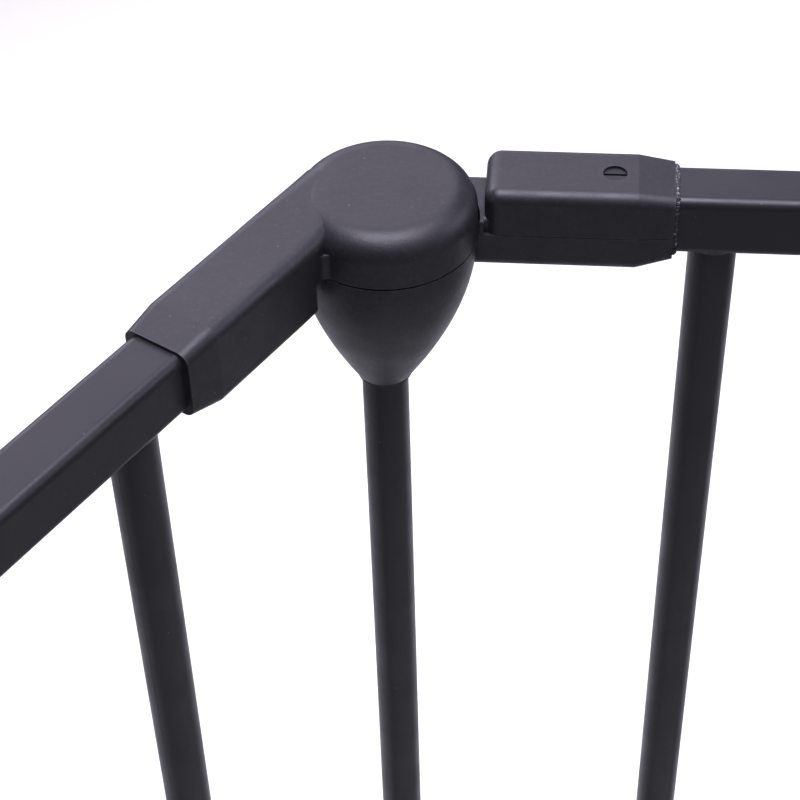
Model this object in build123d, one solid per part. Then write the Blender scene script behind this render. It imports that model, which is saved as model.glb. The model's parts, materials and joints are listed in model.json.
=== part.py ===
from build123d import *
import os
from math import cos, sin, pi, radians, sqrt

# A two-section folding safety gate.  Millimetres, +Z up.
# The origin is on the floor, under the axis of the corner hinge.
# The door section runs along +X; the wing leaves the corner at WING_ANGLE.
# Each section's rails lie beside the hinge axis, so that the two fold flat.

# ---- driving dimensions -------------------------------------------------
HEIGHT = 750.0            # floor to the top of the corner disc
FOOT_HEIGHT = 8.0         # rubber foot under each bottom fitting
WING_ANGLE = 239.5        # direction of the wing at rest, degrees from +X
BAR_PITCH = 67.5          # centre to centre of neighbouring bars
BAR_RADIUS = 5.0
BAR_WALL = 1.0
BAR_INSERT = 4.0          # how far a bar's end goes into a rail
RAIL_WIDTH = 12.6
RAIL_HEIGHT = 13.8
RAIL_WALL = 1.2
RAIL_CORNER = 2.0
SECTION_OFFSET = 7.6      # rail centre plane beside the hinge axis, door section
WING_OFFSET = 9.7         # the same on the wing
SECTION_FIRST_BAR = 66.7  # first bar from the hinge axis, door section
WING_FIRST_BAR = 69.7     # the same on the wing
WING_BARS = 5
LEAF_BARS = 6

# corner hinge: a disc on the wing turns on a cone on the door section
DISC_RADIUS = 18.7
DISC_RISE = 2.8           # disc top above the rail's top face
DISC_EDGE = 5.4           # rounding of the disc's top edge
SEAM = -8.6               # parting level of the mouldings, from the rail's top face
GAP = 0.4                 # free space between parts that turn on each other
POST_X, POST_Y = -1.05, -2.5   # corner post beside the hinge axis
CONE_BELLY = 21.5         # depth at which the cone still runs upright
CONE_SHOULDER_R, CONE_SHOULDER_Z = 13.1, 32.7
CONE_LIP_R, CONE_LIP_Z = 6.1, 44.0

# arms: the sleeves that hold the rails at the corner
ARM_WIDTH = 16.6
ARM_TOP = 1.8
ARM_BOTTOM = -17.1
ARM_CORNER = 2.6
LIP_SIDE = 1.35           # sleeve's end stands proud of the rail's sides by this
LIP_TOP, LIP_BOTTOM = 0.75, 1.1
LIP_CORNER = 2.4
COVER_START = 19.9
COVER_NOSE = 3.0          # rounding of the cover's free end
NECK_TOP = -5.2           # level of the neck between cone and cover
NECK_HALF_WIDTH = 7.3
SECTION_TAPER, SECTION_SLEEVE_END = 50.7, 58.1
WING_TAPER, WING_SLEEVE_END = 52.0, 60.0
WING_ARM_START = 21.9     # the wing arm's lower body clears the cone
RAMP_START, RAMP_END = 3.0, 26.5   # the wing arm's top falls from the disc's between these
RAMP_CORNER = 5.2
CREASE_R = 1.6            # fillet between the disc's wall and the wing arm
RAIL_START = 27.0         # rails end this far from the hinge axis
SCREW_X = 45.9
SCREW_RECESS_R = 2.45
SCREW_SINK = 0.4          # head below the cover's top
SCREW_HOLE_R = 1.3
SCREW_R = 1.25
SLOT_HALF = 0.3           # half width of a screw's slot

# hinge hardware inside the cone
STUD_R = 4.0
STUD_CLEARANCE = 0.05
PLATE_R, PLATE_THICK = 13.5, 3.0
CAVITY_R, CAVITY_BOTTOM = 9.0, -27.5
STUD_TOP, STUD_BOTTOM = -2.4, -26.5
POST_TUCK = 31.0          # corner post ends this far below the rail's top

# door leaf
UPRIGHT = 20.0            # square uprights of the doorway
UPRIGHT_WALL = 1.5
LEAF_AXIS_GAP = 14.0      # leaf's turning axis from the upright's face
STILE_R = 6.0
LEAF_FLOOR_GAP = 11.0     # leaf's bottom rail above the threshold rail
LATCH_GAP = 4.7           # leaf's end to the latch upright
LATCH_STILE_INSET = 16.0
LEAF_RAIL_INSET = 5.0     # bottom rail's free end before the leaf's end
BOLT_TRAVEL = 10.0
CAP_DEPTH = 5.0           # upright cap's plug stays above the bolt
BRACKET_SCREW_RISE = 13.0 # bracket screws above and below its middle
BRACKET_SCREW_R = 1.95

# outer ends
BOSS_R = 11.0             # round boss over an outer post
FITTING_REACH = 34.0      # end fitting's sleeve from the outer post
OUTER_TUCK = 8.0          # rail ends this far before the outer post
OUTER_POST_TUCK = 6.0     # outer post ends this far below the rail's top
SKIRT = ((17.1, 11.0), (22.5, 9.6), (28.0, 6.4))   # depth and radius under the boss
OUTER_FOOT_R, CORNER_FOOT_R = 10.0, 12.0

# wall clips on the outer posts
CLIP_RING_R = 9.0
CLIP_CLEARANCE = 0.08
CLIP_REACH = 16.0
CLIP_HOLE_R = 2.3
CLIP_HOLE_SPACING = 26.0
CLIP_PLATE_W, CLIP_PLATE_H, CLIP_PLATE_T = 24.0, 42.0, 4.0

# ---- values that follow -------------------------------------------------
RAIL_TOP = HEIGHT - DISC_RISE
LOW_RAIL_BOTTOM = FOOT_HEIGHT + DISC_RISE
BAR_BOTTOM = LOW_RAIL_BOTTOM + RAIL_HEIGHT - BAR_INSERT
BAR_TOP = RAIL_TOP - RAIL_HEIGHT + BAR_INSERT
SECTION_Y = SECTION_OFFSET
HINGE_UPRIGHT_X = SECTION_FIRST_BAR + BAR_PITCH
LATCH_UPRIGHT_X = HINGE_UPRIGHT_X + (LEAF_BARS + 1) * BAR_PITCH
SECTION_BAR_2_X = LATCH_UPRIGHT_X + BAR_PITCH
SECTION_END_X = SECTION_BAR_2_X + BAR_PITCH
WING_END_S = WING_FIRST_BAR + WING_BARS * BAR_PITCH
LEAF_AXIS_X = HINGE_UPRIGHT_X + UPRIGHT / 2 + LEAF_AXIS_GAP
LEAF_END_X = LATCH_UPRIGHT_X - UPRIGHT / 2 - LATCH_GAP
LEAF_RAIL_BOTTOM = LOW_RAIL_BOTTOM + RAIL_HEIGHT + LEAF_FLOOR_GAP
RAIL_MID = -RAIL_HEIGHT / 2

TO_TOP = Pos(0, 0, RAIL_TOP)
TO_WING = Rot(0, 0, WING_ANGLE - 360.0)
WING_N = -WING_OFFSET     # the wing is drawn along +X with its rails at this Y


# ---- helpers ------------------------------------------------------------
def block(x0, x1, y0, y1, z0, z1):
    """An upright box between six planes."""
    return Pos((x0 + x1) / 2, (y0 + y1) / 2, (z0 + z1) / 2) * Box(x1 - x0, y1 - y0, z1 - z0)


def rod(x, y, z0, z1, radius):
    """A vertical cylinder from z0 to z1."""
    return Pos(x, y, (z0 + z1) / 2) * Cylinder(radius, z1 - z0)


def tube(x, y, z0, z1, radius, wall):
    """A vertical round tube from z0 to z1."""
    return rod(x, y, z0, z1, radius) - rod(x, y, z0 - 1, z1 + 1, radius - wall)


def section(x, y, z, width, height, corner):
    """A rounded rectangle standing across X."""
    return Plane.YZ.offset(x) * Pos(y, z) * RectangleRounded(width, height, corner)


def bar_of(x0, x1, y, z, width, height, corner):
    """A straight rounded bar along X."""
    return extrude(section(x0, y, z, width, height, corner), amount=x1 - x0)


def rail(x0, x1, y, z_top):
    """A hollow rail along X with its top face at z_top."""
    z = z_top + RAIL_MID
    core = bar_of(x0 - 1, x1 + 1, y, z, RAIL_WIDTH - 2 * RAIL_WALL,
                  RAIL_HEIGHT - 2 * RAIL_WALL, RAIL_CORNER - RAIL_WALL)
    return bar_of(x0, x1, y, z, RAIL_WIDTH, RAIL_HEIGHT, RAIL_CORNER) - core


def punched(piece, places, z0, z1, radius=BAR_RADIUS):
    """The rail with a hole through one wall for each bar's end."""
    for x, y in places:
        piece = piece - rod(x, y, z0, z1, radius)
    return piece


def rounded(piece, edges, radius):
    """Fillet the edges; a smaller radius is used where the first will not go."""
    for r in (radius, radius * 0.7, radius * 0.4):
        try:
            result = fillet(edges, r)
            if result.is_valid and result.volume > 0:
                return result
        except Exception:
            continue
    return piece


def at_bottom(piece):
    """A top fitting turned over for the bottom rail."""
    return Pos(0, 0, LOW_RAIL_BOTTOM) * mirror(piece, Plane.XY)


def one(piece):
    """The largest solid of a shape, so that a node holds one clean piece."""
    return max(piece.solids(), key=lambda s: s.volume)


# ---- corner mouldings, drawn with the rail's top face at z = 0 ------------
def sleeve(x0, taper_x, end_x, y):
    """Rounded arm along X that narrows to a thin lip around the rail."""
    width, height = ARM_WIDTH, ARM_TOP - ARM_BOTTOM
    middle = (ARM_TOP + ARM_BOTTOM) / 2
    straight = bar_of(x0, taper_x, y, middle, width, height, ARM_CORNER)
    wide = section(taper_x, y, middle, width, height, ARM_CORNER)
    lip_z = (LIP_TOP - RAIL_HEIGHT - LIP_BOTTOM) / 2
    narrow = section(end_x, y, lip_z, RAIL_WIDTH + 2 * LIP_SIDE,
                     RAIL_HEIGHT + LIP_TOP + LIP_BOTTOM, LIP_CORNER)
    return straight + loft([wide, narrow], ruled=True)


def rail_room(x0, x1, y):
    """The space that the rail's end fills inside a sleeve."""
    return bar_of(x0, x1, y, RAIL_MID, RAIL_WIDTH, RAIL_HEIGHT, RAIL_CORNER)


def cone_circle(t):
    """One level of the cone: radius and depth follow a cubic curve, and
    the centre slides in a straight line from the hinge axis to the post."""
    a, b, c, d = (1 - t) ** 3, 3 * t * (1 - t) ** 2, 3 * t * t * (1 - t), t ** 3
    top = -SEAM + GAP
    radius = (a + b) * DISC_RADIUS + c * CONE_SHOULDER_R + d * CONE_LIP_R
    depth = a * top + b * CONE_BELLY + c * CONE_SHOULDER_Z + d * CONE_LIP_Z
    k = (depth - top) / (CONE_LIP_Z - top)
    return Plane.XY.offset(-depth) * Pos(POST_X * k, POST_Y * k) * Circle(radius)


def cone():
    """Solid cone from the disc's seam down to the lip around the post."""
    body = loft([cone_circle(i / 6) for i in range(7)])
    lip = Pos(POST_X, POST_Y, -CONE_LIP_Z - 0.5) * Cylinder(CONE_LIP_R - 0.3, 1.0)
    return body + lip


def hub_shell():
    """Cone and lower arm in one moulding, hollow for the hinge hardware."""
    y = SECTION_Y
    arm = sleeve(8.0, SECTION_TAPER, SECTION_SLEEVE_END, y)
    arm = arm - block(0, 80, y - 20, y + 20, SEAM, 10)
    tongue = block(14, RAIL_START, y - NECK_HALF_WIDTH, y + NECK_HALF_WIDTH, SEAM - 2, NECK_TOP)
    tongue = rounded(tongue, tongue.edges().filter_by(Axis.X).group_by(Axis.Z)[-1], 1.2)
    deck = SEAM - GAP
    head = rod(0, 0, deck, 0, DISC_RADIUS + GAP)
    neck = block(12, COVER_START - 0.1, y - ARM_WIDTH / 2, y, SEAM - 2, NECK_TOP)
    shell = cone() + ((arm + tongue + neck) - head)
    shell = shell - rail_room(RAIL_START, SECTION_SLEEVE_END + 5, y)
    shell = shell - rod(0, 0, deck - PLATE_THICK, deck + 5, PLATE_R)
    shell = shell - rod(0, 0, CAVITY_BOTTOM, deck - PLATE_THICK, CAVITY_R)
    shell = shell - rod(POST_X, POST_Y, -50, -POST_TUCK, BAR_RADIUS)
    return one(shell - rod(SCREW_X, y, ARM_BOTTOM + 1.5, 0, SCREW_HOLE_R))


def arm_cover():
    """Upper half of the door section's arm, with a screw recess."""
    y = SECTION_Y
    body = sleeve(COVER_START, SECTION_TAPER, SECTION_SLEEVE_END, y)
    body = body - block(0, 80, y - 20, y + 20, -30, SEAM + 0.12)
    front = body.faces().sort_by(Axis.X)[0]
    body = rounded(body, [e for e in front.edges() if e.center().Z > SEAM + 0.5], COVER_NOSE)
    body = body - rail_room(RAIL_START, SECTION_SLEEVE_END + 5, y)
    half = NECK_HALF_WIDTH + 0.1
    body = body - block(COVER_START - 1, RAIL_START, y - half, y + half, SEAM - 1, NECK_TOP + 0.1)
    body = body - rod(SCREW_X, y, -1, 5, SCREW_RECESS_R)
    return one(body)


def cover_screw():
    """Slotted pan-head screw through the rail into the lower shell."""
    y = SECTION_Y
    top = ARM_TOP - SCREW_SINK
    head = rod(SCREW_X, y, 0.05, top, SCREW_RECESS_R - 0.1)
    head = head - block(SCREW_X - 3, SCREW_X + 3, y - SLOT_HALF, y + SLOT_HALF, top - 0.4, top + 1)
    return head + rod(SCREW_X, y, ARM_BOTTOM + 1.6, 0.05, SCREW_R)


def ramp_section(t):
    """One section of the wing arm's root: at t = 0 it has the disc's top, edge
    rounding and outer side, and at t = 1 the arm's; a cosine joins the two."""
    k = (1 - cos(pi * t)) / 2
    top = DISC_RISE + (ARM_TOP - DISC_RISE) * k
    outer = -DISC_RADIUS + (DISC_RADIUS + WING_N - ARM_WIDTH / 2) * t
    inner = WING_N + ARM_WIDTH / 2
    corner = RAMP_CORNER + (ARM_CORNER - RAMP_CORNER) * k
    x = RAMP_START + (RAMP_END - RAMP_START) * t
    return section(x, (outer + inner) / 2, (top + ARM_BOTTOM) / 2, inner - outer,
                   top - ARM_BOTTOM, corner)


def crease_web():
    """Fills the sharp corner where the arm's outer side leaves the disc, with a
    concave round of radius CREASE_R that touches both."""
    side = WING_N + ARM_WIDTH / 2
    x = sqrt((DISC_RADIUS + CREASE_R) ** 2 - (side + CREASE_R) ** 2)
    filled = block(DISC_RADIUS - 1.2, x, side - 1, side + CREASE_R, SEAM, DISC_RISE - DISC_EDGE)
    return filled - rod(x, side + CREASE_R, SEAM - 1, 5, CREASE_R)


def wing_arm():
    """Disc and arm in one moulding; drawn along +X with its rail at WING_N.
    The arm's root rises in a smooth ramp to the disc's flat top."""
    disc = rod(0, 0, SEAM, DISC_RISE, DISC_RADIUS)
    disc = rounded(disc, disc.edges().group_by(Axis.Z)[-1], DISC_EDGE)
    arm = sleeve(RAMP_END, WING_TAPER, WING_SLEEVE_END, WING_N)
    arm = arm + loft([ramp_section(i / 5) for i in range(6)])
    arm = arm - rod(0, 0, -30, SEAM, WING_ARM_START)
    arm = arm - block(-5, 12, -30, 10, -30, SEAM)
    body = disc + arm
    body = body + crease_web() - rail_room(RAIL_START, WING_SLEEVE_END + 5, WING_N)
    body = body - rod(0, 0, SEAM - 1, STUD_TOP, STUD_R)
    return one(body - rod(SCREW_X, WING_N, ARM_BOTTOM - 1, ARM_BOTTOM + 4, SCREW_HOLE_R))


def arm_screw():
    """Screw from below that holds the wing's rail in its arm."""
    head = rod(SCREW_X, WING_N, ARM_BOTTOM - 0.8, ARM_BOTTOM, 2.6)
    slot = block(SCREW_X - 3, SCREW_X + 3, WING_N - SLOT_HALF, WING_N + SLOT_HALF,
                 ARM_BOTTOM - 2, ARM_BOTTOM - 0.4)
    shank = rod(SCREW_X, WING_N, ARM_BOTTOM, -RAIL_HEIGHT - 0.02, SCREW_R)
    return (head - slot) + shank


def bearing_plate():
    """Plate pressed into the cone's mouth; the stud turns in its bore."""
    top = SEAM - GAP
    return tube(0, 0, top - PLATE_THICK, top, PLATE_R, PLATE_R - STUD_R - STUD_CLEARANCE)


def hinge_stud():
    """Stud moulded into the disc, through the bearing plate."""
    return rod(0, 0, STUD_BOTTOM, STUD_TOP, STUD_R)


def spring_washer():
    """Dished washer that gives the corner its stiffness."""
    top = SEAM - GAP - PLATE_THICK - GAP
    outer = Pos(0, 0, top - 0.9) * Cone(7.0, 5.6, 1.8)
    return outer - rod(0, 0, top - 3, top + 1, STUD_R)


def lock_nut():
    """Hexagon lock nut under the spring washer, with its nylon collar."""
    top = SEAM - GAP - PLATE_THICK - GAP - 1.8
    nut = extrude(Plane.XY.offset(top - 6.0) * RegularPolygon(6.9, 6), amount=6.0)
    collar = rod(0, 0, top - 8.0, top - 6.0, 5.6)
    return (nut + collar) - rod(0, 0, top - 9, top + 1, STUD_R)


# ---- outer ends -----------------------------------------------------------
def end_fitting(post_x, y):
    """Sleeve on the rail's outer end with a round boss over the outer post."""
    inner = post_x - FITTING_REACH
    arm = mirror(sleeve(-post_x, -inner - 8.0, -inner, y), Plane.YZ)
    boss = rod(post_x, y, ARM_BOTTOM, ARM_TOP, BOSS_R)
    boss = rounded(boss, boss.edges().group_by(Axis.Z)[-1], 3.2)
    skirt = loft([Plane.XY.offset(-depth) * Pos(post_x, y) * Circle(r) for depth, r in SKIRT])
    body = arm + boss + skirt
    body = body - rail_room(inner - 5, post_x - OUTER_TUCK, y)
    return one(body - rod(post_x, y, -40, -OUTER_POST_TUCK, BAR_RADIUS))


def foot(x, y, radius):
    """Rubber foot with a soft rounded edge."""
    pad = rod(x, y, 0, FOOT_HEIGHT, radius)
    return rounded(pad, pad.edges().group_by(Axis.Z)[0], 1.2)


# ---- doorway ----------------------------------------------------------------
def upright(x):
    """Square upright of the doorway, standing on the threshold rail."""
    z0, z1 = LOW_RAIL_BOTTOM + RAIL_HEIGHT, RAIL_TOP
    z = (z0 + z1) / 2
    outer = Pos(x, SECTION_Y, z) * extrude(RectangleRounded(UPRIGHT, UPRIGHT, 3.0),
                                           amount=(z1 - z0) / 2, both=True)
    inside = UPRIGHT - 2 * UPRIGHT_WALL
    hollow = Pos(x, SECTION_Y, z) * extrude(RectangleRounded(inside, inside, 1.5),
                                            amount=(z1 - z0) / 2 + 1, both=True)
    return outer - hollow


def upright_cap(x):
    """Domed plug on an upright's top."""
    top = Pos(x, SECTION_Y, RAIL_TOP) * extrude(RectangleRounded(UPRIGHT, UPRIGHT, 3.0), amount=2.5)
    top = rounded(top, top.faces().sort_by(Axis.Z)[-1].edges(), 1.6)
    inside = UPRIGHT - 2 * UPRIGHT_WALL - 0.2
    plug = extrude(RectangleRounded(inside, inside, 1.3), amount=CAP_DEPTH)
    return top + Pos(x, SECTION_Y, RAIL_TOP - CAP_DEPTH) * plug


def hinge_bracket(z):
    """Collar on the hinge upright in which the leaf's stile turns."""
    face = HINGE_UPRIGHT_X + UPRIGHT / 2
    ring = rod(LEAF_AXIS_X, SECTION_Y, z - 8, z + 8, STILE_R + 4.0)
    web = block(face, LEAF_AXIS_X, SECTION_Y - 6, SECTION_Y + 6, z - 8, z + 8)
    plate = block(face, face + 3.0, SECTION_Y - 9, SECTION_Y + 9, z - 18, z + 18)
    plate = rounded(plate, plate.edges().filter_by(Axis.X), 3.0)
    body = ring + web + plate
    for dz in (-BRACKET_SCREW_RISE, BRACKET_SCREW_RISE):
        hole = Pos(face, SECTION_Y, z + dz) * Rot(0, 90, 0)
        body = body - hole * Cylinder(BRACKET_SCREW_R + STUD_CLEARANCE, 20)
    return one(body - rod(LEAF_AXIS_X, SECTION_Y, z - 20, z + 20, STILE_R + STUD_CLEARANCE))


def bracket_screw(z):
    """Round-head screw that holds a bracket to its upright."""
    face = HINGE_UPRIGHT_X + UPRIGHT / 2
    turn = Rot(0, 90, 0)
    head = Pos(face + 4.0, SECTION_Y, z) * turn * Cylinder(3.4, 2.0)
    head = rounded(head, head.edges().group_by(Axis.X)[-1], 1.2)
    slot = block(face + 4.2, face + 6, SECTION_Y - 0.4, SECTION_Y + 0.4, z - 4, z + 4)
    shank = Pos(face - 3.0, SECTION_Y, z) * turn * Cylinder(BRACKET_SCREW_R, 12.0)
    return (head - slot) + shank


def collar(z):
    """Stop ring on the stile; it keeps the leaf from sliding down."""
    return tube(LEAF_AXIS_X, SECTION_Y, z, z + 5, STILE_R + 3.0, 3.0)


LATCH_Z = RAIL_TOP - 9.5          # height of the bolt's middle
BOLT_W, BOLT_H = 8.0, 7.0
HOUSING_START = LEAF_END_X - 47.0
HOUSING_SOCKET = 8.0             # depth of the top rail's socket
THUMB_START = HOUSING_START + 9.0
HOUSING_HALF_W = 11.5
HOUSING_TOP, HOUSING_BOTTOM = RAIL_TOP + 1.8, RAIL_TOP - 34.0
BUTTON_X, BUTTON_Z, BUTTON_R = LEAF_END_X - 30.0, RAIL_TOP - 24.0, 6.0


def bolt_room():
    """The slide way of the bolt with its slot for the thumb piece."""
    y, c = SECTION_Y, 0.3
    half_w, half_h = BOLT_W / 2 + c, BOLT_H / 2 + c
    way = block(HOUSING_START + HOUSING_SOCKET + 0.4, LEAF_END_X + 1, y - half_w, y + half_w,
                LATCH_Z - half_h, LATCH_Z + half_h)
    slot = block(THUMB_START + 2.7, THUMB_START + 15.3 + BOLT_TRAVEL, y - 3.3, y + 3.3,
                 LATCH_Z, HOUSING_TOP + 1)
    return way + slot


def latch_housing():
    """Moulded latch body on the leaf's free corner."""
    y = SECTION_Y
    body = block(HOUSING_START, LEAF_END_X, y - HOUSING_HALF_W, y + HOUSING_HALF_W,
                 HOUSING_BOTTOM, HOUSING_TOP)
    body = rounded(body, body.edges(), 3.0)
    body = body - bar_of(HOUSING_START - 1, HOUSING_START + HOUSING_SOCKET, y, RAIL_TOP + RAIL_MID,
                         RAIL_WIDTH, RAIL_HEIGHT, RAIL_CORNER)
    body = body - bolt_room()
    body = body - rod(LEAF_END_X - LATCH_STILE_INSET, y, HOUSING_BOTTOM - 1, HOUSING_BOTTOM + 12, BAR_RADIUS)
    bore = Pos(BUTTON_X, y - HOUSING_HALF_W + 4.9, BUTTON_Z) * Rot(90, 0, 0)
    return one(body - bore * Cylinder(BUTTON_R + 0.3, 10.0))


def latch_bolt():
    """Bolt with its ribbed thumb piece, drawn withdrawn into the housing."""
    y = SECTION_Y
    bolt = block(THUMB_START, LEAF_END_X - 0.6, y - BOLT_W / 2, y + BOLT_W / 2,
                 LATCH_Z - BOLT_H / 2, LATCH_Z + BOLT_H / 2)
    stem = block(THUMB_START + 3, THUMB_START + 15, y - 3, y + 3, LATCH_Z, HOUSING_TOP + 0.4)
    thumb = block(THUMB_START, THUMB_START + 18, y - 6, y + 6,
                  HOUSING_TOP + 0.4, HOUSING_TOP + 4.6)
    thumb = rounded(thumb, thumb.edges().group_by(Axis.Z)[-1], 1.4)
    for i in range(5):
        x = THUMB_START + 3.0 + 3.0 * i
        thumb = thumb - block(x - 0.6, x + 0.6, y - 7, y + 7, HOUSING_TOP + 3.9, HOUSING_TOP + 6)
    return one(bolt + stem + thumb)


def release_button():
    """Round safety button in the housing's inner side."""
    y = SECTION_Y - HOUSING_HALF_W
    button = Pos(BUTTON_X, y + 1.0, BUTTON_Z) * Rot(90, 0, 0) * Cylinder(BUTTON_R, 8.0)
    return rounded(button, button.edges().group_by(Axis.Y)[0], 1.2)


def latch_keeper():
    """Keeper on the latch upright: a pocket for the bolt and a stop lip."""
    y, face = SECTION_Y, LATCH_UPRIGHT_X - UPRIGHT / 2
    plate = block(face - 3.0, face, y - 10, y + 10, HOUSING_BOTTOM + 2, RAIL_TOP)
    lip = block(face - 13.0, face, y - HOUSING_HALF_W - 4.0, y - HOUSING_HALF_W - 0.6,
                HOUSING_BOTTOM + 2, RAIL_TOP)
    root = block(face - 3.0, face, y - HOUSING_HALF_W - 4.0, y, HOUSING_BOTTOM + 2, RAIL_TOP)
    body = rounded(plate + lip + root, (plate + lip + root).edges().filter_by(Axis.Z), 0.8)
    return one(body - keeper_window())


def keeper_window():
    """The hole through keeper and upright that takes the bolt."""
    x = LATCH_UPRIGHT_X - UPRIGHT / 2
    return block(x - 8, x + 5, SECTION_Y - BOLT_W / 2 - 0.6, SECTION_Y + BOLT_W / 2 + 0.6,
                 LATCH_Z - BOLT_H / 2 - 0.8, LATCH_Z + BOLT_H / 2 + 0.8)


def rail_plug(x, z_top, direction):
    """Plastic plug that closes a leaf rail's open end."""
    x0, x1 = sorted((x, x + 1.5 * direction))
    flange = bar_of(x0, x1, SECTION_Y, z_top + RAIL_MID, RAIL_WIDTH, RAIL_HEIGHT, RAIL_CORNER)
    x0, x1 = sorted((x, x - 2.0 * direction))
    core = bar_of(x0, x1, SECTION_Y, z_top + RAIL_MID, RAIL_WIDTH - 2 * RAIL_WALL - 0.1,
                  RAIL_HEIGHT - 2 * RAIL_WALL - 0.1, 0.7)
    return flange + core


# ---- wall clips ---------------------------------------------------------------
def wall_clip(z):
    """Ring around an outer post, with a screw plate facing +X; post at 0, 0."""
    ring = rod(0, 0, z - 10, z + 10, CLIP_RING_R)
    stem = block(0, CLIP_REACH, -4.5, 4.5, z - 8, z + 8)
    plate = block(CLIP_REACH, CLIP_REACH + CLIP_PLATE_T, -CLIP_PLATE_W / 2, CLIP_PLATE_W / 2,
                  z - CLIP_PLATE_H / 2, z + CLIP_PLATE_H / 2)
    plate = rounded(plate, plate.edges().filter_by(Axis.X), 5.0)
    body = ring + stem + plate
    for side in (-1, 1):
        hole = Pos(CLIP_REACH, 0, z + side * CLIP_HOLE_SPACING / 2) * Rot(0, 90, 0)
        body = body - hole * Cylinder(CLIP_HOLE_R, 20)
    return one(body - rod(0, 0, z - 30, z + 30, BAR_RADIUS + CLIP_CLEARANCE))


# ---- assembly -------------------------------------------------------------------
PARTS = {}


def put(name, piece):
    """Keep a finished sub-part under its node name."""
    PARTS[name] = piece


def both_ends(name, piece, place=Pos(0, 0, 0)):
    """Place a corner piece at the top and, turned over, at the bottom."""
    put("upper_" + name, place * TO_TOP * piece)
    put("lower_" + name, place * at_bottom(piece))


def pair(piece, place=Pos(0, 0, 0)):
    """Two identical small pieces, top and bottom, as one group."""
    return Compound(children=[*(place * TO_TOP * piece).solids(),
                              *(place * at_bottom(piece)).solids()])


def section_frame():
    """Rails, bars, uprights and end fittings of the door section."""
    y = SECTION_Y
    hinge_face = HINGE_UPRIGHT_X - UPRIGHT / 2
    latch_face = LATCH_UPRIGHT_X + UPRIGHT / 2
    rail_end = SECTION_END_X - OUTER_TUCK
    put("corner_post", tube(POST_X, POST_Y, LOW_RAIL_BOTTOM + POST_TUCK, RAIL_TOP - POST_TUCK,
                            BAR_RADIUS, BAR_WALL))
    bars = {"section_bar_1": SECTION_FIRST_BAR, "section_bar_2": SECTION_BAR_2_X}
    for name, x in bars.items():
        put(name, tube(x, y, BAR_BOTTOM, BAR_TOP, BAR_RADIUS, BAR_WALL))
    under = (RAIL_TOP - RAIL_HEIGHT - 1, BAR_TOP)
    near = punched(rail(RAIL_START, hinge_face, y, RAIL_TOP), [(SECTION_FIRST_BAR, y)], *under)
    screw = rod(SCREW_X, y, RAIL_TOP - 30, RAIL_TOP + 1, SCREW_HOLE_R)
    put("hinge_side_top_rail", near - screw)
    far = rail(latch_face, rail_end, y, RAIL_TOP)
    put("latch_side_top_rail", punched(far, [(SECTION_BAR_2_X, y)], *under))
    low = rail(RAIL_START, rail_end, y, LOW_RAIL_BOTTOM + RAIL_HEIGHT)
    low = punched(low, [(x, y) for x in bars.values()], BAR_BOTTOM, BAR_BOTTOM + 10)
    low = low - rod(SCREW_X, y, LOW_RAIL_BOTTOM - 1, LOW_RAIL_BOTTOM + 30, SCREW_HOLE_R)
    put("threshold_rail", low)
    put("hinge_upright", upright(HINGE_UPRIGHT_X) - bracket_holes())
    put("latch_upright", upright(LATCH_UPRIGHT_X) - keeper_window())
    put("upright_caps", Compound(children=[one(upright_cap(x))
                                           for x in (HINGE_UPRIGHT_X, LATCH_UPRIGHT_X)]))
    put("section_outer_post", tube(SECTION_END_X, y, LOW_RAIL_BOTTOM + OUTER_POST_TUCK,
                                   RAIL_TOP - OUTER_POST_TUCK, BAR_RADIUS, BAR_WALL))
    fitting = end_fitting(SECTION_END_X, y)
    put("section_upper_end_fitting", TO_TOP * fitting)
    put("section_lower_end_fitting", at_bottom(fitting))
    put("section_outer_foot", foot(SECTION_END_X, y, OUTER_FOOT_R))


BRACKET_ZS = (90.0, 690.0)


def bracket_holes():
    """Screw holes in the hinge upright."""
    face = HINGE_UPRIGHT_X + UPRIGHT / 2
    holes = [Pos(face, SECTION_Y, z + dz) * Rot(0, 90, 0) * Cylinder(BRACKET_SCREW_R, 10)
             for z in BRACKET_ZS for dz in (-BRACKET_SCREW_RISE, BRACKET_SCREW_RISE)]
    return Compound(children=holes)


def upright_feet():
    """Rubber blocks that carry the threshold rail under the uprights."""
    feet = []
    for x in (HINGE_UPRIGHT_X, LATCH_UPRIGHT_X):
        pad = block(x - 12, x + 12, SECTION_Y - 9, SECTION_Y + 9, 0, LOW_RAIL_BOTTOM)
        feet.append(rounded(pad, pad.edges().filter_by(Axis.Z), 3.0))
    return Compound(children=feet)


def corner_hardware():
    """The two corner hinges, top and bottom."""
    both_ends("hub_shell", hub_shell())
    both_ends("arm_cover", arm_cover())
    put("arm_cover_screws", pair(cover_screw()))
    put("bearing_plates", pair(bearing_plate()))
    arm = wing_arm()
    put("wing_upper_arm", TO_WING * TO_TOP * arm)
    put("wing_lower_arm", TO_WING * at_bottom(arm))
    put("wing_arm_screws", pair(arm_screw(), TO_WING))
    put("hinge_studs", pair(hinge_stud()))
    put("spring_washers", pair(spring_washer()))
    put("lock_nuts", pair(lock_nut()))
    put("corner_foot", foot(0, 0, CORNER_FOOT_R))


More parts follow.
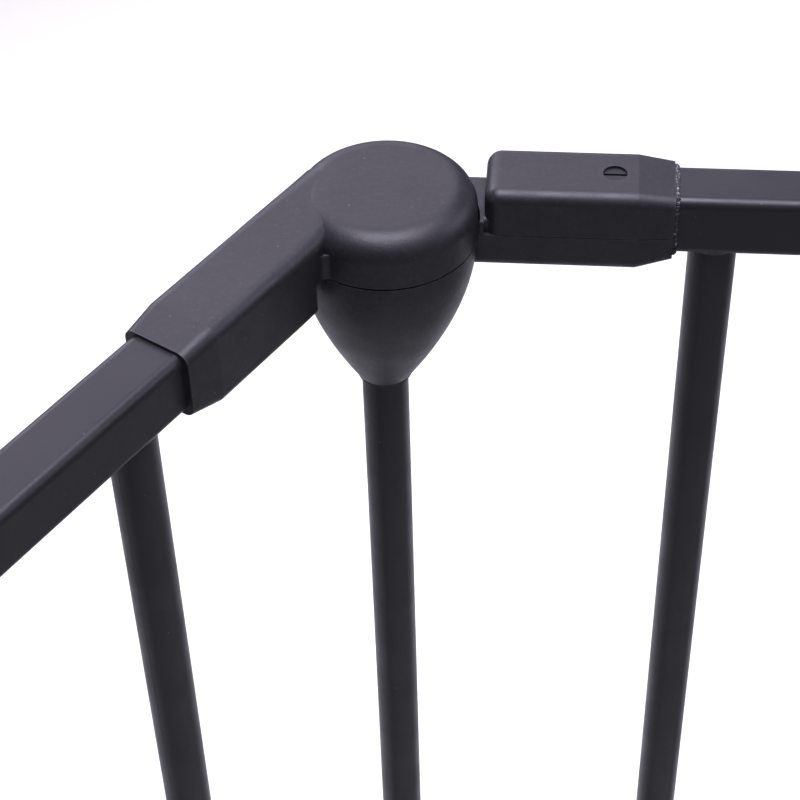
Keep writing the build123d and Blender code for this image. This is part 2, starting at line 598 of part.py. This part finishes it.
def wing():
    """Rails, bars and outer end of the wing."""
    y = WING_N
    xs = [WING_FIRST_BAR + i * BAR_PITCH for i in range(WING_BARS)]
    places = [(x, y) for x in xs]
    for i, x in enumerate(xs):
        put(f"wing_bar_{i + 1}", TO_WING * tube(x, y, BAR_BOTTOM, BAR_TOP, BAR_RADIUS, BAR_WALL))
    end = WING_END_S - OUTER_TUCK
    top = punched(rail(RAIL_START, end, y, RAIL_TOP), places, RAIL_TOP - RAIL_HEIGHT - 1, BAR_TOP)
    low = rail(RAIL_START, end, y, LOW_RAIL_BOTTOM + RAIL_HEIGHT)
    low = punched(low, places, BAR_BOTTOM, BAR_BOTTOM + 10)
    put("wing_top_rail", TO_WING * top)
    put("wing_bottom_rail", TO_WING * low)
    post = tube(WING_END_S, y, LOW_RAIL_BOTTOM + OUTER_POST_TUCK, RAIL_TOP - OUTER_POST_TUCK,
                BAR_RADIUS, BAR_WALL)
    put("wing_outer_post", TO_WING * post)
    fitting = end_fitting(WING_END_S, y)
    put("wing_upper_end_fitting", TO_WING * TO_TOP * fitting)
    put("wing_lower_end_fitting", TO_WING * at_bottom(fitting))
    put("wing_outer_foot", TO_WING * foot(WING_END_S, y, OUTER_FOOT_R))


def door_leaf():
    """The leaf that turns on its hinge stile."""
    y = SECTION_Y
    low_top = LEAF_RAIL_BOTTOM + RAIL_HEIGHT
    latch_x = LEAF_END_X - LATCH_STILE_INSET
    xs = [HINGE_UPRIGHT_X + (i + 1) * BAR_PITCH for i in range(LEAF_BARS)]
    for i, x in enumerate(xs):
        put(f"door_bar_{i + 1}", tube(x, y, low_top - BAR_INSERT, BAR_TOP, BAR_RADIUS, BAR_WALL))
    stile = tube(LEAF_AXIS_X, y, low_top - BAR_INSERT, BAR_TOP, STILE_R, 1.2)
    put("door_hinge_stile", stile + collar(BRACKET_ZS[0] + 8.3) + collar(BRACKET_ZS[1] + 8.3))
    put("door_latch_stile", tube(latch_x, y, low_top - BAR_INSERT, HOUSING_BOTTOM + 12,
                                 BAR_RADIUS, BAR_WALL))
    start = LEAF_AXIS_X - 8.5
    under = (RAIL_TOP - RAIL_HEIGHT - 1, BAR_TOP)
    over = (low_top - BAR_INSERT, low_top + 1)
    top = rail(start, HOUSING_START + HOUSING_SOCKET, y, RAIL_TOP)
    top = punched(top, [(x, y) for x in xs], *under)
    put("door_top_rail", punched(top, [(LEAF_AXIS_X, y)], *under, STILE_R))
    low = rail(start, LEAF_END_X - LEAF_RAIL_INSET, y, low_top)
    low = punched(low, [(x, y) for x in xs + [latch_x]], *over)
    put("door_bottom_rail", punched(low, [(LEAF_AXIS_X, y)], *over, STILE_R))
    plugs = [rail_plug(start, RAIL_TOP, -1), rail_plug(start, low_top, -1),
             rail_plug(LEAF_END_X - LEAF_RAIL_INSET, low_top, 1)]
    put("door_rail_plugs", Compound(children=[one(p) for p in plugs]))
    put("latch_housing", latch_housing())
    put("latch_bolt", latch_bolt())
    put("release_button", release_button())


def doorway_hardware():
    """Hinge brackets, keeper and feet of the doorway."""
    low, high = BRACKET_ZS
    put("lower_hinge_bracket", hinge_bracket(low))
    put("upper_hinge_bracket", hinge_bracket(high))
    put("bracket_screws", Compound(children=[one(bracket_screw(z + dz))
                                             for z in BRACKET_ZS
                                             for dz in (-BRACKET_SCREW_RISE, BRACKET_SCREW_RISE)]))
    put("latch_keeper", latch_keeper())
    put("upright_feet", upright_feet())


CLIP_ZS = {"lower": 75.0, "upper": 680.0}


def wall_clips():
    """Clips on the outer posts: section's face +X, the wing's face -Y."""
    a = radians(WING_ANGLE)
    wing_x = WING_END_S * cos(a) + WING_OFFSET * sin(a)
    wing_y = WING_END_S * sin(a) - WING_OFFSET * cos(a)
    for level, z in CLIP_ZS.items():
        clip = wall_clip(z)
        put(f"section_{level}_wall_clip", Pos(SECTION_END_X, SECTION_Y) * clip)
        put(f"wing_{level}_wall_clip", Pos(wing_x, wing_y) * Rot(0, 0, -90) * clip)
    print("wing outer post at", round(wing_x, 3), round(wing_y, 3))


def main():
    section_frame()
    corner_hardware()
    wing()
    door_leaf()
    doorway_hardware()
    wall_clips()
    os.makedirs("parts", exist_ok=True)
    for name, piece in PARTS.items():
        export_step(piece, f"parts/{name}.step")
    print(len(PARTS), "nodes; leaf axis", LEAF_AXIS_X, "section end", SECTION_END_X,
          "bolt", LEAF_END_X, "button", BUTTON_X, BUTTON_Z)


main()
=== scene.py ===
import json
import math
import bpy
import numpy as np
from mathutils import Matrix, Vector


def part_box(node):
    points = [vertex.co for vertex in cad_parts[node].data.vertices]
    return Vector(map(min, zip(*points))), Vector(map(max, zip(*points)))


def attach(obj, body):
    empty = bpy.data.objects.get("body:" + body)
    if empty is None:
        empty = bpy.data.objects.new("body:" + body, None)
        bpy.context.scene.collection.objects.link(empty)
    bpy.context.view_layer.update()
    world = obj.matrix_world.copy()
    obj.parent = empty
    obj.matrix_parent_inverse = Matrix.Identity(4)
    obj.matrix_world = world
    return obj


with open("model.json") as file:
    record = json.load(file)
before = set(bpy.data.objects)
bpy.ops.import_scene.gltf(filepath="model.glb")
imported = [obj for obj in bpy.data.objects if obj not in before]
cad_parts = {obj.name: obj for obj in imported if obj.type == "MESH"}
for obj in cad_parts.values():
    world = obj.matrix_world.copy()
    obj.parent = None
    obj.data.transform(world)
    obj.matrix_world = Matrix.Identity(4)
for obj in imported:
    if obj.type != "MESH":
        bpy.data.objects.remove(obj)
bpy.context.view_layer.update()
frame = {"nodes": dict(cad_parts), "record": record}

# ---- driving values, metres ---------------------------------------------------------
MM = 0.001
TAU = 2.0 * math.pi
NODES = frame["nodes"]
RECORD = frame["record"]
RAIL_LOW, RAIL_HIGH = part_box("hinge_side_top_rail")
RAIL_TOP = RAIL_HIGH.z


# ---- materials ----------------------------------------------------------------------
class Nodes:
    """A material's node tree with short ways to add and join nodes."""

    def __init__(self, name):
        self.material = bpy.data.materials.new(name)
        self.material.use_nodes = True
        self.tree = self.material.node_tree
        self.shader = self.tree.nodes["Principled BSDF"]
        self.place = self.add("ShaderNodeTexCoord")

    def add(self, kind, **values):
        """A new node, with its settings or sockets given by name."""
        node = self.tree.nodes.new(kind)
        for key, value in values.items():
            if hasattr(node, key) and key not in node.inputs:
                setattr(node, key, value)
            else:
                node.inputs[key.replace("_", " ")].default_value = value
        return node

    def join(self, a, out, b, into):
        """Link an output of one node to an input of another."""
        self.tree.links.new(a.outputs[out], b.inputs[into])

    def noise(self, scale, detail=3.0, roughness=0.55):
        """Noise with this many cells to the metre."""
        node = self.add("ShaderNodeTexNoise")
        node.inputs["Scale"].default_value = scale
        node.inputs["Detail"].default_value = detail
        node.inputs["Roughness"].default_value = roughness
        self.join(self.place, "Object", node, "Vector")
        return node

    def ramp(self, source, out, stops):
        """Colours by value, each stop a place and a colour."""
        node = self.add("ShaderNodeValToRGB")
        ramp = node.color_ramp
        while len(ramp.elements) < len(stops):
            ramp.elements.new(0.5)
        for element, (at, colour) in zip(ramp.elements, stops):
            element.position = at
            element.color = colour
        self.join(source, out, node, "Fac")
        return node

    def edge_wear(self, radius, strength):
        """Mask that rises where the surface turns sharply within the radius."""
        soft = self.add("ShaderNodeBevel")
        soft.samples = 4
        soft.inputs["Radius"].default_value = radius
        true = self.add("ShaderNodeNewGeometry")
        dot = self.add("ShaderNodeVectorMath", operation="DOT_PRODUCT")
        self.join(soft, "Normal", dot, 0)
        self.join(true, "Normal", dot, 1)
        turn = self.span(dot, "Value", 0.99, 0.80, 0.0, 1.0)
        patchy = self.span(self.noise(420.0, 3.0), "Fac", 0.45, 0.62, 0.15, 1.0)
        both = self.add("ShaderNodeMath", operation="MULTIPLY")
        self.join(turn, "Result", both, 0)
        self.join(patchy, "Result", both, 1)
        scaled = self.add("ShaderNodeMath", operation="MULTIPLY")
        self.join(both, "Value", scaled, 0)
        scaled.inputs[1].default_value = strength
        return scaled

    def blend(self, mask, out, under, colour):
        """The under colour with another colour laid over it by a mask. The mix node's
        colour sockets are 6 and 7 on the way in and 2 on the way out."""
        mix = self.add("ShaderNodeMix", data_type="RGBA")
        self.join(mask, out, mix, 0)
        self.tree.links.new(under, mix.inputs[6])
        mix.inputs[7].default_value = colour
        return mix.outputs[2]

    def bumps(self, *layers):
        """Stack bump layers, each a noise with its strength and depth in metres."""
        last = None
        for height, strength, depth in layers:
            bump = self.add("ShaderNodeBump")
            bump.inputs["Strength"].default_value = strength
            bump.inputs["Distance"].default_value = depth
            self.join(height, "Fac", bump, "Height")
            if last:
                self.join(last, "Normal", bump, "Normal")
            last = bump
        self.join(last, "Normal", self.shader, "Normal")

    def span(self, source, out, low, high, to_low, to_high):
        """The source's range stretched onto another range, and held at its ends."""
        node = self.add("ShaderNodeMapRange")
        for key, value in zip(("From Min", "From Max", "To Min", "To Max"),
                              (low, high, to_low, to_high)):
            node.inputs[key].default_value = value
        self.join(source, out, node, "Value")
        return node


def grey(level, blue=1.0, green=1.0):
    """A grey whose blue and green are scaled against its red."""
    return (level, level * green, level * blue, 1.0)


def moulded_black(name, level=0.013, grain=1.0, tint=1.12):
    """Moulded plastic: spark-eroded grain, faint clouds, pale specks of dust,
    lighter patches of painted highlight (sheen) and edges worn lighter."""
    n = Nodes(name)
    clouds = n.ramp(n.noise(38.0, 4.0), "Fac", [(0.30, grey(level * 0.85, tint, 0.97)),
                                               (0.72, grey(level * 1.15, tint, 0.97))])
    colour = clouds.outputs["Color"]
    mottle = n.span(n.noise(900.0, 3.0, 0.7), "Fac", 0.50, 0.72, 0.0, 0.5)
    colour = n.blend(mottle, "Result", colour, grey(level * 2.0, tint, 0.97))
    # painted highlight: random lighter patches stand in for a soft sheen on the plastic
    painted_sheen = n.span(n.noise(55.0, 6.0, 0.72), "Fac", 0.60, 0.74, 0.0, 0.22)
    colour = n.blend(painted_sheen, "Result", colour, grey(level * 3.6, tint * 0.98))
    specks = n.span(n.noise(1300.0, 1.0, 0.4), "Fac", 0.795, 0.83, 0.0, 0.55)
    colour = n.blend(specks, "Result", colour, grey(min(level * 14.0, 0.8)))
    colour = n.blend(n.edge_wear(0.0008, 0.5), "Value", colour, grey(min(level * 5.0, 0.8), tint))
    n.tree.links.new(colour, n.shader.inputs["Base Color"])
    spread = n.span(n.noise(120.0, 5.0, 0.65), "Fac", 0.3, 0.7, 0.44, 0.56)
    n.join(spread, "Result", n.shader, "Roughness")
    n.bumps((n.noise(2600.0, 2.0, 0.6), 0.30 * grain, 0.00012),
            (n.noise(700.0, 2.0, 0.5), 0.12 * grain, 0.00020),
            (n.noise(45.0, 2.0, 0.5), 0.05, 0.0008))
    n.shader.inputs["Specular IOR Level"].default_value = 0.42
    return n.material


def powder_coat(name, level=0.014):
    """Satin black powder coat: orange peel, soft sheen and rubbed corners."""
    n = Nodes(name)
    clouds = n.ramp(n.noise(30.0, 3.0), "Fac", [(0.3, grey(level * 0.85, 1.10, 0.98)),
                                               (0.7, grey(level * 1.15, 1.10, 0.98))])
    colour = clouds.outputs["Color"]
    specks = n.span(n.noise(1100.0, 1.0, 0.4), "Fac", 0.80, 0.83, 0.0, 0.5)
    colour = n.blend(specks, "Result", colour, grey(0.2))
    colour = n.blend(n.edge_wear(0.0006, 0.5), "Value", colour, grey(level * 4.0))
    n.tree.links.new(colour, n.shader.inputs["Base Color"])
    spread = n.span(n.noise(90.0, 4.0), "Fac", 0.3, 0.7, 0.38, 0.48)
    n.join(spread, "Result", n.shader, "Roughness")
    n.bumps((n.noise(850.0, 2.0, 0.5), 0.20, 0.00015), (n.noise(60.0, 2.0, 0.5), 0.05, 0.0006))
    n.shader.inputs["Specular IOR Level"].default_value = 0.34
    return n.material


def metal(name, level, roughness):
    """Plated steel with fine turning marks."""
    n = Nodes(name)
    cloud = n.noise(300.0, 3.0)
    colour = n.ramp(cloud, "Fac", [(0.3, grey(level * 0.9, 1.03)), (0.7, grey(level, 1.03))])
    n.join(colour, "Color", n.shader, "Base Color")
    n.shader.inputs["Metallic"].default_value = 1.0
    spread = n.span(cloud, "Fac", 0.3, 0.7, roughness - 0.06, roughness + 0.08)
    n.join(spread, "Result", n.shader, "Roughness")
    n.bumps((n.noise(3000.0), 0.1, 0.00005))
    return n.material


def rubber(name):
    """Dusty black rubber."""
    n = Nodes(name)
    cloud = n.noise(220.0, 4.0)
    colour = n.ramp(cloud, "Fac", [(0.35, grey(0.022)), (0.75, grey(0.045))])
    n.join(colour, "Color", n.shader, "Base Color")
    spread = n.span(cloud, "Fac", 0.3, 0.7, 0.78, 0.9)
    n.join(spread, "Result", n.shader, "Roughness")
    n.bumps((n.noise(1500.0), 0.3, 0.0002))
    return n.material


def scuffed_flash():
    """Dark plastic flash with white stress flecks."""
    n = Nodes("scuffed_flash")
    flecks = n.noise(1500.0, 4.0, 0.75)
    colour = n.ramp(flecks, "Fac", [(0.50, grey(0.02, 1.1)), (0.58, grey(0.10)), (0.66, grey(0.6))])
    n.join(colour, "Color", n.shader, "Base Color")
    spread = n.span(flecks, "Fac", 0.4, 0.6, 0.5, 0.8)
    n.join(spread, "Result", n.shader, "Roughness")
    n.bumps((n.noise(2200.0, 3.0, 0.7), 0.5, 0.0002))
    return n.material


FINISHES = {
    "moulded_black": moulded_black("moulded_black"),
    "powder_coat": powder_coat("powder_coat"),
    "zinc_steel": metal("zinc_steel", 0.6, 0.3),
    "black_screw": metal("black_screw", 0.05, 0.45),
    "rubber": rubber("rubber"),
    "nylon": moulded_black("nylon", 0.6, 0.5, 0.93),
    "button_grey": moulded_black("button_grey", 0.16, 0.8, 1.05),
}
SCUFFED_FLASH = scuffed_flash()


def dress_cad():
    """Give each shown CAD node the finish of its slot."""
    slots = {s["node"]: s["material_slot"] for s in RECORD["subparts"]}
    for name, node in NODES.items():
        node.data.materials.clear()
        node.data.materials.append(FINISHES[slots[name]])


# ---- added pieces -------------------------------------------------------------------
BAR_RADIUS = 0.5 * (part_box("section_bar_1")[1].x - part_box("section_bar_1")[0].x)
BAR_INSERT = 4.0 * MM            # the bars' ends go this far into the rails
RAIL_HALF, RAIL_ROUND = 6.3 * MM, 2.0 * MM     # half the rails' width, their corner radius
WING_TURN = math.radians(239.5)  # direction of the wing's rails from +X
WELD_SIZE = 0.9 * MM
WELD_TUCK = 0.2 * MM             # the weld's hidden edge, inside the bar and the rail
WELD_RIPPLES = ((19.0, 0.10, 1.0), (7.0, 0.06, 2.1))     # waves round, height, shift by seed
WELD_ROUND, WELD_ARC = 72, 6     # points round the bar and along the hollow
FLASH_ROUND = 240                # points round the rail
FLASH_CORNER = 0.22              # power of the rounded rectangle: 0 is square, 1 a diamond
FLASH_LIFT = MM * np.array([[-0.25, 0.30, 0.42, 0.10, -0.25]])     # off the rail's face
FLASH_ALONG = MM * np.array([[-0.20, -0.15, 0.35, 0.85, 0.90]])    # out from the sleeve


def ring_mesh(name, grids, body, finish):
    """Closed rings as one piece. Point (i, j) of a grid joins (i + 1, j) and (i, j + 1),
    counted round on both sides, and a ring whose signed volume, the sum of
    a . (b x c + c x d) over its faces, is negative has its faces turned."""
    points, faces, start = [], [], 0
    for grid in grids:
        rows, cols = grid.shape[:2]
        i, j = np.meshgrid(np.arange(rows), np.arange(cols), indexing="ij")
        nexti, nextj = (i + 1) % rows, (j + 1) % cols
        quads = np.stack([i * cols + j, nexti * cols + j, nexti * cols + nextj,
                          i * cols + nextj], axis=-1).reshape(-1, 4)
        ring = grid.reshape(-1, 3)
        a, b, c, d = (ring[quads[:, k]] - ring.mean(axis=0) for k in range(4))
        if (a * (np.cross(b, c) + np.cross(c, d))).sum() < 0.0:
            quads = quads[:, ::-1]
        points.append(ring)
        faces.append(quads + start)
        start += rows * cols
    mesh = bpy.data.meshes.new(name)
    mesh.from_pydata(np.concatenate(points).tolist(), [], np.concatenate(faces).tolist())
    mesh.shade_smooth()
    piece = bpy.data.objects.new(name, mesh)
    bpy.context.scene.collection.objects.link(piece)
    mesh.materials.append(finish)
    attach(piece, body)
    return piece


def weld(x, y, level, turn, up, seed):
    """Rippled fillet round a bar where it enters a rail. Round the bar by angle u, a
    hollow quarter arc has radius bar + size (1 - sin a) and depth size (1 - cos a),
    with size = WELD_SIZE times one plus two sine waves of u. Its height follows the
    rail's rounded corner: round - sqrt(round^2 - over^2), over past the flat."""
    u = np.linspace(0.0, TAU, WELD_ROUND, endpoint=False)[:, None]
    arc = np.linspace(0.0, 0.5 * math.pi, WELD_ARC)[None, :]
    (many, high, shift), (few, low, slide) = WELD_RIPPLES
    ripple = 1.0 + high * np.sin(many * u + shift * seed) + low * np.sin(few * u + slide * seed)
    size = WELD_SIZE * ripple
    radius = BAR_RADIUS + size * (1.0 - np.sin(arc))
    depth = size * (1.0 - np.cos(arc))
    radius = np.concatenate([radius, np.full_like(u, BAR_RADIUS - WELD_TUCK)], axis=1)
    depth = np.concatenate([depth, np.full_like(u, -WELD_TUCK)], axis=1)
    across = np.abs(radius * np.sin(u - turn))
    over = np.clip(across - (RAIL_HALF - RAIL_ROUND), 0.0, RAIL_ROUND * 0.98)
    rise = RAIL_ROUND - np.sqrt(RAIL_ROUND ** 2 - over ** 2)
    z = level + up * (rise - depth)
    return np.stack([x + radius * np.cos(u), y + radius * np.sin(u), z], axis=-1)


def bar_welds(name, bars, body, turn):
    """A weld at both ends of every bar of a body."""
    grids = []
    for k, bar in enumerate(bars):
        low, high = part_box(bar)
        x, y = 0.5 * (low.x + high.x), 0.5 * (low.y + high.y)
        grids.append(weld(x, y, high.z - BAR_INSERT, turn, 1.0, 1.7 * k))
        grids.append(weld(x, y, low.z + BAR_INSERT, turn, -1.0, 1.7 * k + 0.8))
    return ring_mesh(name, grids, body, FINISHES["powder_coat"])


def sleeve_scuffs():
    """Ragged bead of flash round the rail at the end of each of the section's sleeves.
    Its profile of five points is carried round a rounded rectangle by angle u:
    y = half width * sign(cos u) |cos u|^power and z alike with sin u, where lift and
    reach grow with ragged, a product of two sine waves of u plus a third."""
    u = np.linspace(0.0, TAU, FLASH_ROUND, endpoint=False)[:, None]
    cu, su = np.cos(u), np.sin(u)
    ragged = 0.5 + 0.28 * np.sin(23.0 * u) * np.sin(7.0 * u + 0.6) + 0.22 * np.sin(41.0 * u + 1.1)
    ragged = np.clip(ragged, 0, 1)
    lift = FLASH_LIFT * (0.55 + 0.9 * ragged)
    along = FLASH_ALONG * (0.7 + 0.5 * ragged)
    half_z = 0.5 * (RAIL_HIGH.z - RAIL_LOW.z)
    y_mid = 0.5 * (RAIL_LOW.y + RAIL_HIGH.y)
    grids = []
    for cover, rail in (("upper_arm_cover", "hinge_side_top_rail"),
                        ("lower_arm_cover", "threshold_rail")):
        z_mid = 0.5 * sum(corner.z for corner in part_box(rail))
        y = y_mid + np.sign(cu) * np.abs(cu) ** FLASH_CORNER * (RAIL_HALF + lift)
        z = z_mid + np.sign(su) * np.abs(su) ** FLASH_CORNER * (half_z + lift)
        grids.append(np.stack([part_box(cover)[1].x + along, y, z], axis=-1))
    return ring_mesh("section_sleeve_scuffs", grids, "door_section", SCUFFED_FLASH)


def added_pieces():
    """Welds on every bar and the flash at the sleeves' ends."""
    bar_welds("section_bar_welds", ["section_bar_1", "section_bar_2"], "door_section", 0.0)
    bar_welds("door_bar_welds", [f"door_bar_{k}" for k in range(1, 7)], "door_leaf", 0.0)
    bar_welds("wing_bar_welds", [f"wing_bar_{k}" for k in range(1, 6)], "wing", WING_TURN)
    sleeve_scuffs()


# ---- studio -------------------------------------------------------------------------
SOFTBOX_TINT = (1.0, 0.95, 1.18)
WASH_TINT = (1.0, 0.965, 1.06)
SKY_STRENGTH = 0.04
FLOOR_SIZE = 12.0
SOFTBOXES = {                 # side of the square, power, place from the corner's top
    "overhead": (0.42, 9.5, (0.02, -0.06, 0.70)),
    "behind": (0.95, 5.6, (-0.20, 1.05, 0.52)),
    "left": (0.42, 3.6, (-0.66, 0.80, 0.42)),
    "right": (0.30, 1.6, (0.75, 0.15, 0.32)),
}
FLOOR_WASHES = {              # side, power, place on the floor, height
    "wash_behind": (1.5, 9.5, (0.02, 1.00), 0.62),
    "wash_around": (3.0, 9.0, (0.2, -0.3), 2.60),
}


def floor():
    """A wide pale floor."""
    bpy.ops.mesh.primitive_plane_add(size=FLOOR_SIZE, location=(0, 0, 0))
    plane = bpy.context.object
    plane.name = "studio_floor"
    n = Nodes("floor_white")
    cloud = n.noise(3.0)
    colour = n.ramp(cloud, "Fac", [(0.3, grey(0.86)), (0.7, grey(0.88))])
    n.join(colour, "Color", n.shader, "Base Color")
    n.shader.inputs["Roughness"].default_value = 0.9
    plane.data.materials.append(n.material)


def softbox(name, side, power, place, aim, tint):
    """A soft square light aimed at a point."""
    data = bpy.data.lights.new(name, "AREA")
    data.shape = "SQUARE"
    data.size = side
    data.energy = power
    data.color = tint
    lamp = bpy.data.objects.new(name, data)
    lamp.location = place
    lamp.rotation_euler = (aim - place).to_track_quat("-Z", "Y").to_euler()
    lamp.visible_camera = False
    bpy.context.scene.collection.objects.link(lamp)


def studio():
    """Dim surroundings, softboxes round the corner's top and a wash on the floor behind."""
    world = bpy.data.worlds.new("studio")
    world.use_nodes = True
    sky = world.node_tree.nodes["Background"]
    sky.inputs["Color"].default_value = (1, 1, 1, 1)
    sky.inputs["Strength"].default_value = SKY_STRENGTH
    bpy.context.scene.world = world
    corner = Vector((0, 0, RAIL_TOP))
    for name, (side, power, place) in SOFTBOXES.items():
        softbox(name, side, power, corner + Vector(place), corner, SOFTBOX_TINT)
    for name, (side, power, (x, y), height) in FLOOR_WASHES.items():
        softbox(name, side, power, Vector((x, y, height)), Vector((x, y, 0)), WASH_TINT)
    bpy.context.scene.view_settings.view_transform = "Standard"


# ---- camera -------------------------------------------------------------------------
CAMERA_FROM_HINGE = Vector((0.0356, -0.32765, 0.25716))   # from the rail-top point of the axis
CAMERA_YAW, CAMERA_PITCH, CAMERA_ROLL = -5.91, 43.58, -1.87     # degrees
CAMERA_LENS, CAMERA_SENSOR = 93.27, 36.0     # millimetres


def camera():
    """Camera above the corner on the folding side, looking down along +Y."""
    yaw, pitch, roll = (math.radians(a) for a in (CAMERA_YAW, CAMERA_PITCH, CAMERA_ROLL))
    ahead = Vector((math.sin(yaw) * math.cos(pitch), math.cos(yaw) * math.cos(pitch),
                    -math.sin(pitch)))
    level = Vector((math.cos(yaw), -math.sin(yaw), 0))
    above = level.cross(ahead)
    side = math.cos(roll) * level + math.sin(roll) * above
    up = -math.sin(roll) * level + math.cos(roll) * above
    data = bpy.data.cameras.new("camera")
    data.lens = CAMERA_LENS
    data.sensor_width = CAMERA_SENSOR
    data.clip_start, data.clip_end = 0.01, 50
    cam = bpy.data.objects.new("camera", data)
    turn = Matrix((side, up, -ahead)).transposed().to_4x4()
    cam.matrix_world = Matrix.Translation(CAMERA_FROM_HINGE + Vector((0, 0, RAIL_TOP))) @ turn
    bpy.context.scene.collection.objects.link(cam)
    bpy.context.scene.camera = cam


dress_cad()
added_pieces()
floor()
studio()
camera()
